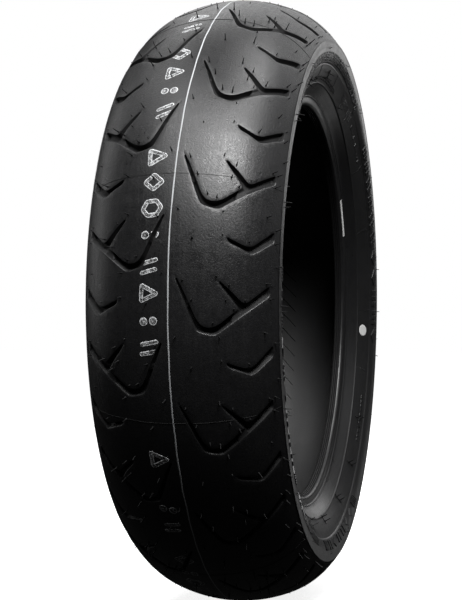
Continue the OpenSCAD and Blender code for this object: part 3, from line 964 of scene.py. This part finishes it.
# ------------------------------------------------------------------ inner liner
def liner_profile(side_pts_only=False):
    """Air side of the liner from the left bead to the right bead."""
    half = [crown(HALF * k / 12, 14.8) for k in range(0, 13)]
    low = [(80.2, 256.4), (81.9, 250.2), (80.5, 244.8), (76.3, 238.6), (71.0, 231.6), (64.8, 225.2), (58.9, 220.4), (54.6, 216.0), (52.15, 211.5)]
    pts = catmull(half + low, 3.0)
    return [(-w, r) for w, r in pts[::-1]][:-1] + pts


def build_liner():
    air = liner_profile()
    n = 510
    m = len(air)
    # face length along the profile, for the bladder pattern
    L = [0.0]
    for a, b in zip(air, air[1:]):
        L.append(L[-1] + math.hypot(b[0] - a[0], b[1] - a[1]))
    mid = L[-1] / 2
    s = Soup()
    vs = []
    for j in range(n):
        dg = 360.0 * j / n
        for k, (w, r) in enumerate(air):
            vs.append(at(w, r, dg))
    fs = []
    for j in range(n):
        j2 = (j + 1) % n
        for k in range(m - 1):
            fs.append((j * m + k, j * m + k + 1, j2 * m + k + 1, j2 * m + k))
    # outer face, against the inner ply
    back = []
    for k in range(m):
        a = air[max(0, k - 1)]
        b = air[min(m - 1, k + 1)]
        t = (b[0] - a[0], b[1] - a[1])
        q = math.hypot(*t)
        nx, ny = -t[1] / q, t[0] / q
        back.append((air[k][0] + nx * 1.1, air[k][1] + ny * 1.1))
    base = len(vs)
    for j in range(n):
        dg = 360.0 * j / n
        for k, (w, r) in enumerate(back):
            vs.append(at(w, r, dg))
    for j in range(n):
        j2 = (j + 1) % n
        for k in range(m - 1):
            fs.append((base + j * m + k, base + j2 * m + k, base + j2 * m + k + 1, base + j * m + k + 1))
        fs.append((j * m, j2 * m, base + j2 * m, base + j * m))
        fs.append((j * m + m - 1, base + j * m + m - 1, base + j2 * m + m - 1, j2 * m + m - 1))
    s.add(vs, fs)
    # bladder vent lines: low ridges at a slant, printed into the liner by the curing bladder
    def air_at(l):
        k = 0
        while k < m - 2 and L[k + 1] < l:
            k += 1
        f = (l - L[k]) / (L[k + 1] - L[k])
        a, b = air[k], air[k + 1]
        t = (b[0] - a[0], b[1] - a[1])
        q = math.hypot(*t)
        return (a[0] + t[0] * f, a[1] + t[1] * f), (t[1] / q, -t[0] / q)
    plain = len(s.f)
    count = 103
    for c in range(2 * count):
        half = 1 if c < count else -1
        dg0 = 360.0 * (c % count) / count
        pts = []
        steps = 14
        a0, a1 = (-116, -13) if half > 0 else (34, 116)
        for i in range(steps + 1):
            l = mid + a0 + (a1 - a0) * i / steps
            pts.append((l, dg0 + half * (l - mid) * 0.20))
        ridge = []
        for (l, dg) in pts:
            (w, r), (nw, nr) = air_at(l)
            wd = 0.62 / (r * DEG)
            ridge.append([at(w - nw * 0.2, r - nr * 0.2, dg - wd), at(w + nw * 0.34, r + nr * 0.34, dg - wd * 0.35),
                          at(w + nw * 0.34, r + nr * 0.34, dg + wd * 0.35), at(w - nw * 0.2, r - nr * 0.2, dg + wd)])
        v = [p for q in ridge for p in q]
        f = []
        for i in range(steps):
            for k in range(4):
                k2 = (k + 1) % 4
                f.append((i * 4 + k, (i + 1) * 4 + k, (i + 1) * 4 + k2, i * 4 + k2))
        f.append((0, 1, 2, 3))
        f.append((steps * 4 + 3, steps * 4 + 2, steps * 4 + 1, steps * 4))
        s.add(v, f)
    ob = new_object("liner_face", s.v, s.f, M_LINER, sharp=45)
    # the vent ridges take the near-black liner line material: painted shade
    ob.data.materials.append(M_LINE)
    if len(ob.data.polygons) == len(s.f):
        ob.data.polygons.foreach_set("material_index", [1 if i >= plain else 0 for i in range(len(s.f))])
    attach(ob, "root")
    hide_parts("inner_liner")
    return ob


build_liner()

# ------------------------------------------------------------------ vent hairs and mould lines of the tread
PIPS = [(12.5, 3.2), (20.9, 0.1), (31.0, -3.35), (40.0, -3.8), (45.9, -6.1), (5.9, -6.0), (42.6, 4.0),
        (54.3, 2.55), (51.0, 0.1), (69.0, 0.1), (58.6, -1.45), (90.0, 2.95), (96.2, 2.85), (94.6, 0.25),
        (47.0, 11.05), (71.2, 10.1), (99.6, 13.2), (99.2, 10.6), (88.0, 15.3), (20.0, 10.2), (101.5, 6.2)]


def normal_at(s):
    a = abs(s)
    t = a / R1 if a <= L1 else A1 + (a - L1) / R2
    return (1 if s >= 0 else -1) * math.sin(t), math.cos(t)


def build_spews():
    s = Soup()
    g = random.Random(5)
    for p in range(17):
        for sgn in (1, -1):
            for (ds, dd) in PIPS:
                if g.random() < 0.05:
                    continue
                ss = sgn * (ds + g.uniform(-0.35, 0.35))
                dg = dd + p * PITCH + (PITCH / 2 if sgn < 0 else 0) + g.uniform(-0.08, 0.08)
                w, r = crown(ss)
                nw, nr = normal_at(ss)
                a = dg * DEG
                n3 = Vector((nr * math.cos(a), nw, nr * math.sin(a)))
                up = Vector((-math.sin(a), 0, math.cos(a)))
                side = Vector((-nw * math.cos(a), nr, -nw * math.sin(a)))
                t3 = up * g.uniform(-1, 1) + side * g.uniform(-0.6, 0.6)
                if t3.length < 0.1:
                    t3 = up
                # some hairs have been rubbed short, most of all towards the shoulders
                ln = g.uniform(5.2, 7.6) if g.random() > 0.2 else g.uniform(1.6, 3.2)
                side_on = abs(n3.x * 0.9726 + n3.y * 0.2324)
                if side_on < 0.16:
                    continue
                if side_on < 0.34:
                    ln *= 0.10 + 1.2 * (side_on - 0.16)
                if ss < -76:
                    ln = min(ln, 1.6)
                bent_hair(s, at(w, r, dg), n3, t3, ln, 0.47, g.uniform(0.05, 0.45), 6, 3)
    return s


hairs = build_spews()


def mould_lines():
    """Fine raised lines where the nine tread sectors of the mould met."""
    s = Soup()
    g = random.Random(8)
    for dg in (21.35, 60.9, 101.0, 141.3, 181.0, 221.2, 262.4, -57.9, -20.7):
        pts = []
        n = 96
        ph = g.uniform(0, 6)
        for i in range(n + 1):
            ss = -HALF + 1.0 + (2 * HALF - 2.0) * i / n
            pts.append((ss, dg + 0.035 * math.sin(ph + ss * 0.11) + g.uniform(-0.012, 0.012)))
        arr = np.array([(a, b * TPD) for a, b in pts])
        # bring each point into the modelled pitch to read the groove depth there
        top = DEG0 * TPD
        tt_ = arr[:, 1].copy()
        for k in range(len(tt_)):
            while tt_[k] > top:
                tt_[k] -= PITCH * TPD
            while tt_[k] < top - PITCH * TPD:
                tt_[k] += PITCH * TPD
        dep, _ = groove_depth(np.stack([arr[:, 0], tt_], 1))
        rows = []
        for (ss, d), dp in zip(pts, dep):
            w, r = crown(ss, dp)
            nw, nr = normal_at(ss)
            wd = 0.27 / (r * DEG)
            h = 0.24
            rows.append([at(w - nw * 0.25, r - nr * 0.25, d - wd), at(w + nw * h, r + nr * h, d - wd * 0.3),
                         at(w + nw * h, r + nr * h, d + wd * 0.3), at(w - nw * 0.25, r - nr * 0.25, d + wd)])
        v = [p for q in rows for p in q]
        f = []
        m = len(rows)
        for i in range(m - 1):
            for k in range(4):
                k2 = (k + 1) % 4
                f.append((i * 4 + k, i * 4 + k2, (i + 1) * 4 + k2, (i + 1) * 4 + k))
        f.append((3, 2, 1, 0))
        f.append(tuple((m - 1) * 4 + k for k in range(4)))
        s.add(v, f)
    return s


lines = mould_lines()
# the tread's vent hairs and mould lines use the darker hair material: painted shade
for name, soup, mat in (("vent_hairs", hairs, M_HAIR_SHADE), ("mould_lines", lines, M_HAIR_SHADE)):
    ob = new_object(name, soup.v, soup.f, mat, sharp=60)
    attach(ob, "root")


# ------------------------------------------------------------------ paint on the tread
def depth_here(pts):
    """Groove depth at (s, degrees)."""
    arr = np.array([(a, b * TPD) for a, b in pts], float)
    top = DEG0 * TPD
    per = PITCH * TPD
    arr[:, 1] = top - np.mod(top - arr[:, 1], per)
    d, _ = groove_depth(arr)
    return d


def centre_line():
    wob = smooth_noise(21, 8, 0.5)
    wid = smooth_noise(22, 9, 0.18)
    s = Soup()
    n = 720
    vs = []
    for j in range(n):
        dg = 360.0 * j / n
        c = -0.2 + wob(dg)
        hw = 0.66 + wid(dg)
        for x, h in ((-hw, 0.03), (-hw * 0.8, 0.12), (0, 0.14), (hw * 0.8, 0.12), (hw, 0.03), (hw * 0.8, -0.05), (-hw * 0.8, -0.05)):
            vs.append(on_tread(c + x, dg, h))
    m = 7
    fs = []
    for j in range(n):
        j2 = (j + 1) % n
        for k in range(m):
            k2 = (k + 1) % m
            fs.append((j * m + k, j2 * m + k, j2 * m + k2, j * m + k2))
    s.add(vs, fs)
    ob = new_object("centre_line_paint", s.v, s.f, M_STRIPE)
    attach(ob, "root")
    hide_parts("centre_stripe")


centre_line()

STROKE = 4.1
FIG_H, FIG_W = 17.2, 14.6


def fig_strokes(kind):
    """Centre lines of the stamped figures, x round the tyre and y across it, in mm."""
    w, h = FIG_W / 2, FIG_H / 2
    if kind == 0:    # six-sided frame
        return [([(w * math.cos(a * DEG), h * math.sin(a * DEG)) for a in range(30, 390, 60)], True)]
    if kind == 1:    # diamond frame
        return [([(w, 0), (0, h), (-w, 0), (0, -h)], True)]
    if kind == 2:    # wedge frame
        return [([(-w, -h * 0.8), (w, -h * 0.8), (0, h)], True)]
    if kind == 3:    # slanted bars
        return [([(-w * 0.95, -h), (-w * 0.25, h)], False), ([(w * 0.25, -h), (w * 0.95, h)], False)]
    if kind == 4:    # two dots
        ring = lambda cy: [(2.0 * math.cos(a * DEG), cy + 2.0 * math.sin(a * DEG)) for a in range(0, 360, 30)]
        return [(ring(-h * 0.55), True), (ring(h * 0.55), True)]
    if kind == 6:    # chevron pair
        return [([(-w, h), (0, 0.25 * h), (w, h)], False), ([(-w, -0.1 * h), (0, -h * 0.85), (w, -0.1 * h)], False)]
    return [([(-w * 0.8, 0), (w * 0.8, 0)], False)]


FIGS = [(63.1, 2), (57.8, 3), (48.4, 1), (43.1, 2), (38.5, 4), (33.9, 3), (24.6, 2), (19.9, 1), (15.3, 0), (10.8, 4),
        (5.5, 3), (1.1, 2), (-3.5, 4), (-7.9, 3), (-27.7, 2), (-38.4, 4), (-43.0, 3), (-52.9, 1), (-58.0, 4),
        (-62.5, 0), (-67.0, 3)]


def stamped_marks():
    """Figures stamped in white ink: wide strokes, thicker at their rims, missing over the grooves."""
    g = random.Random(17)
    V, F, RIM = [], [], []
    for dg0, kind in FIGS:
        tilt = g.uniform(-0.12, 0.12)
        cx, cy = dg0, -18.9 + g.uniform(-0.5, 0.5)
        sc = g.uniform(0.95, 1.04)
        for pts, closed in fig_strokes(kind):
            # sample the centre line
            P = [np.array(p, float) for p in pts]
            if closed:
                P.append(P[0])
            line = []
            for a, b in zip(P, P[1:]):
                n = max(2, int(np.linalg.norm(b - a) / 0.7))
                line += [a + (b - a) * k / n for k in range(n)]
            if not closed:
                line.append(P[-1])
            line = np.array(line)
            # ease corners
            for _ in range(2):
                if closed:
                    line = 0.5 * line + 0.25 * (np.roll(line, 1, 0) + np.roll(line, -1, 0))
                else:
                    line[1:-1] = 0.5 * line[1:-1] + 0.25 * (line[:-2] + line[2:])
            n = len(line)
            if closed:
                t = np.roll(line, -1, 0) - np.roll(line, 1, 0)
            else:
                t = np.gradient(line, axis=0)
            t /= np.linalg.norm(t, axis=1)[:, None] + 1e-9
            nr_ = np.stack([-t[:, 1], t[:, 0]], 1)
            cols = np.linspace(-1, 1, 9)
            hw = STROKE / 2
            grid = []
            for i in range(n):
                # rounded ends on open strokes
                e = 1.0
                if not closed:
                    end = min(i, n - 1 - i) * 0.7
                    e = math.sqrt(max(0.0, 1 - max(0.0, (hw - end) / hw) ** 2)) if end < hw else 1.0
                    e = max(e, 0.15)
                row = []
                for c in cols:
                    p = line[i] + nr_[i] * (c * hw * e)
                    p = p * sc
                    x = p[0] * math.cos(tilt) - p[1] * math.sin(tilt)
                    y = p[0] * math.sin(tilt) + p[1] * math.cos(tilt)
                    x += g.uniform(-0.16, 0.16)
                    y += g.uniform(-0.16, 0.16)
                    rim = abs(c)
                    if not closed:
                        rim = max(rim, 1 - min(i, n - 1 - i) * 0.7 / hw)
                    row.append((cy + y, cx + x / (5.35), rim))
                grid.append(row)
            flat = [(a, b) for row in grid for a, b, _ in row]
            dep = depth_here(flat).reshape(n, len(cols))
            base = len(V)
            for row in grid:
                for a, b, rim in row:
                    V.append(on_tread(a, b, 0.10))
                    RIM.append(rim)
            for i in range(n if closed else n - 1):
                i2 = (i + 1) % n
                for k in range(len(cols) - 1):
                    if max(dep[i, k], dep[i2, k], dep[i, k + 1], dep[i2, k + 1]) > 0.02:
                        continue
                    F.append((base + i * 9 + k, base + i * 9 + k + 1, base + i2 * 9 + k + 1, base + i2 * 9 + k))
    # thicken downwards so that every figure is a closed skin
    used = sorted({v for f in F for v in f})
    pos = {v: i for i, v in enumerate(used)}
    V2 = [V[v] for v in used]
    rim2 = [RIM[v] for v in used]
    nb = len(V2)
    low = []
    for v in used:
        x, y, z = V[v]
        rr = math.hypot(x, z)
        k = (rr - 0.00016) / rr
        low.append((x * k, y, z * k))
    V2 += low
    rim2 += rim2[:nb]
    F2 = [tuple(pos[v] for v in f) for f in F]
    edges = {}
    for f in F2:
        for a, b in zip(f, f[1:] + f[:1]):
            edges[(a, b)] = edges.get((a, b), 0) + 1
    allf = list(F2) + [tuple(v + nb for v in f[::-1]) for f in F2]
    for (a, b), c in edges.items():
        if (b, a) not in edges:
            allf.append((b, a, a + nb, b + nb))
    ob = new_object("stamped_marks", V2, allf, M_MARK)
    at_ = ob.data.attributes.new("rim", "FLOAT", "POINT")
    at_.data.foreach_set("value", [float(min(1.0, r)) for r in rim2])
    # faces must look outwards
    me = ob.data
    k = 0
    for p in me.polygons[: len(F2)]:
        c = p.center
        if p.normal.x * c.x + p.normal.z * c.z < 0:
            k += 1
    if k > len(F2) / 2:
        me.flip_normals()
    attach(ob, "root")
    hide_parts("batch_marks")


stamped_marks()


# ------------------------------------------------------------------ balance dot and bead label
def balance_dot():
    side, dg0, r0 = 1, -171.6, 234.0
    q0 = q_of_radius(r0)
    n, rings = 48, [0.0, 2.2, 4.2, 5.6, 6.25, 6.5]
    g = smooth_noise(41, 6, 0.12)
    V, F = [], []
    for i, rad in enumerate(rings):
        for k in range(n if i else 1):
            a = 2 * math.pi * k / n
            rr = rad + (g(k * 360 / n) if i > 3 else 0)
            q = q0 + rr * math.cos(a)
            (w, r), (nw, nr) = outer_point(q)
            h = 0.16 if i < 4 else (0.12 if i == 4 else 0.0)
            V.append(at(side * (w + nw * h), r + nr * h, dg0 + rr * math.sin(a) / (r0 * DEG)))
    for k in range(n):
        k2 = (k + 1) % n
        F.append((0, 1 + k, 1 + k2))
        for i in range(1, len(rings) - 1):
            b0, b1 = 1 + (i - 1) * n, 1 + i * n
            F.append((b0 + k, b1 + k, b1 + k2, b0 + k2))
    top = len(V)
    # underside
    c = len(V)
    (w, r), (nw, nr) = outer_point(q0)
    V.append(at(side * (w - nw * 0.1), r - nr * 0.1, dg0))
    b1 = 1 + (len(rings) - 2) * n
    for k in range(n):
        F.append((c, b1 + (k + 1) % n, b1 + k))
    ob = new_object("balance_spot", V, F, M_DOT)
    me = ob.data
    if me.polygons[0].normal.y < 0:
        me.flip_normals()
    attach(ob, "root")
    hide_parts("balance_dot")


balance_dot()


def bead_label():
    d0, d1, n = 146.9, 159.2, 40
    prof = [(63.36, 206.5), (63.50, 208.2), (63.72, 210.0), (64.05, 211.3)]
    V, F = [], []
    m = len(prof)
    for j in range(n + 1):
        dg = d0 + (d1 - d0) * j / n
        lift = 0.05 + 0.10 * (abs(j - n / 2) / (n / 2)) ** 6
        for w, r in prof:
            V.append(at(w + lift + 0.14, r, dg))
        for w, r in prof:
            V.append(at(w + lift, r, dg))
    st = 2 * m
    for j in range(n):
        a, b = j * st, (j + 1) * st
        for k in range(m - 1):
            F.append((a + k, b + k, b + k + 1, a + k + 1))
            F.append((a + m + k, a + m + k + 1, b + m + k + 1, b + m + k))
        F.append((a, a + m, b + m, b))
        F.append((a + m - 1, b + m - 1, b + 2 * m - 1, a + 2 * m - 1))
    F.append(tuple(range(m)) + tuple(range(2 * m - 1, m - 1, -1)))
    e = n * st
    F.append(tuple(e + k for k in range(m))[::-1] + tuple(e + k for k in range(m, 2 * m)))
    ob = new_object("bead_sticker", V, F, M_LABEL, sharp=30)
    me = ob.data
    if me.polygons[0].normal.y < 0:
        me.flip_normals()
    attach(ob, "root")
    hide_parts("bead_label")


bead_label()

# ------------------------------------------------------------------ stage, light, camera
FLOOR = -R * MM - 0.0004


def floor():
    m, nt, bsdf = nodes_of("floor_white")
    tc = N(nt, "ShaderNodeTexCoord")
    n = noise(nt, tc.outputs["Object"], 3, 2)
    nt.links.new(ramp(nt, n, [(0.2, 0.90), (0.8, 0.92)]), bsdf.inputs["Base Color"])
    bsdf.inputs["Roughness"].default_value = 0.9
    bsdf.inputs["Specular IOR Level"].default_value = 0.1
    bsdf.inputs["Emission Color"].default_value = (1, 1, 1, 1)
    far = N(nt, "ShaderNodeVectorMath", operation="LENGTH")
    nt.links.new(tc.outputs["Object"], far.inputs[0])
    nt.links.new(ramp(nt, far.outputs["Value"], [(0.42, 0.84), (0.85, 1.0)]), bsdf.inputs["Emission Strength"])
    V, F = [(0, 0, FLOOR)], []
    rings = (0.5, 1.0, 2.0, 4.0, 9.0)
    for rr in rings:
        for k in range(48):
            a = 2 * math.pi * k / 48
            V.append((rr * math.cos(a), rr * math.sin(a), FLOOR))
    for k in range(48):
        k2 = (k + 1) % 48
        F.append((0, 1 + k, 1 + k2))
        for i in range(len(rings) - 1):
            a, b = 1 + i * 48, 1 + (i + 1) * 48
            F.append((a + k, b + k, b + k2, a + k2))
    ob = new_object("studio_floor", V, F, m)
    # the floor is seen, and takes the shadow, but throws no light up under the tire
    ob.visible_diffuse = False
    ob.visible_glossy = False
    return ob


floor()

world = bpy.data.worlds.new("studio")
bpy.context.scene.world = world
world.use_nodes = True
wn = world.node_tree
bg = wn.nodes.get("Background")
lp = wn.nodes.new("ShaderNodeLightPath")
fill = wn.nodes.new("ShaderNodeBackground")
mixb = wn.nodes.new("ShaderNodeMixShader")
bg.inputs["Color"].default_value = (1, 1, 1, 1)
bg.inputs["Strength"].default_value = 1.0
fill.inputs["Color"].default_value = (1, 1, 1, 1)
fill.inputs["Strength"].default_value = 0.010
wn.links.new(lp.outputs["Is Camera Ray"], mixb.inputs[0])
wn.links.new(fill.outputs[0], mixb.inputs[1])
wn.links.new(bg.outputs[0], mixb.inputs[2])
wn.links.new(mixb.outputs[0], [n for n in wn.nodes if n.type == "OUTPUT_WORLD"][0].inputs[0])


def soft_box(name, az, el, dist, size, power):
    """A square soft light at an azimuth and elevation about the tire, turned towards its middle."""
    L = bpy.data.lights.new(name, "AREA")
    L.shape = "RECTANGLE"
    L.size = L.size_y = size
    L.energy = power
    ob = bpy.data.objects.new(name, L)
    bpy.context.scene.collection.objects.link(ob)
    a, e = az * DEG, el * DEG
    p = Vector((math.cos(e) * math.cos(a), math.cos(e) * math.sin(a), math.sin(e))) * dist
    ob.location = p
    ob.rotation_euler = (-p).to_track_quat("-Z", "Y").to_euler()
    ob.visible_camera = False
    return ob


for i, (az, el, dist, size, power) in enumerate([
        (27, 47, 1.5, 0.46, 21.0), (-20, 60, 2.2, 0.8, 13.5), (0, 45, 2.2, 0.8, 9.0), (90, 72, 1.6, 0.5, 7.6),
        (180, 30, 2.2, 1.8, 9.0), (-150, 50, 2.2, 0.8, 3.4), (-40, 60, 2.2, 0.8, 5.6), (50, 55, 2.2, 0.8, 2.8),
        (78, 50, 2.2, 0.8, 3.6), (-100, 60, 2.2, 0.8, 4.2), (110, 68, 1.8, 0.5, 1.0), (140, 40, 2.2, 0.8, 3.2),
        (180, 55, 2.0, 0.8, 1.9), (-110, 30, 2.2, 0.8, 2.5), (164, 12, 2.0, 0.6, 1.2), (150, -15, 1.6, 0.5, 0.5),
        (105, 25, 2.2, 1.0, 1.8), (-95, 10, 2.2, 1.0, 3.5)]):
    soft_box("soft_box_%02d" % i, az, el, dist, size, power)

# camera
TH, ROLL, DIST, FPX, YAW, TILT = 0.23453, 0.00392, 1850.0, 1760.84, 0.01079, 0.00026
C = Vector((DIST * math.cos(TH), DIST * math.sin(TH), 0.0))
fwd = -C.normalized()
rgt = fwd.cross(Vector((0, 0, 1))).normalized()
up = rgt.cross(fwd)
f2 = fwd * math.cos(YAW) - rgt * math.sin(YAW)
r2 = rgt * math.cos(YAW) + fwd * math.sin(YAW)
f3 = f2 * math.cos(TILT) + up * math.sin(TILT)
u3 = up * math.cos(TILT) - f2 * math.sin(TILT)
r4 = r2 * math.cos(ROLL) + u3 * math.sin(ROLL)
u4 = -r2 * math.sin(ROLL) + u3 * math.cos(ROLL)
cam = bpy.data.cameras.new("cam")
cam.sensor_fit = "VERTICAL"
cam.sensor_height = 36.0
cam.lens = FPX / 600.0 * 36.0
cam.clip_end = 50
co = bpy.data.objects.new("cam", cam)
bpy.context.scene.collection.objects.link(co)
rot = Matrix((r4, u4, -f3)).transposed().to_4x4()
co.matrix_world = Matrix.Translation(C * MM) @ rot
bpy.context.scene.camera = co
bpy.context.scene.view_settings.view_transform = "Standard"
bpy.context.scene.view_settings.look = "None"
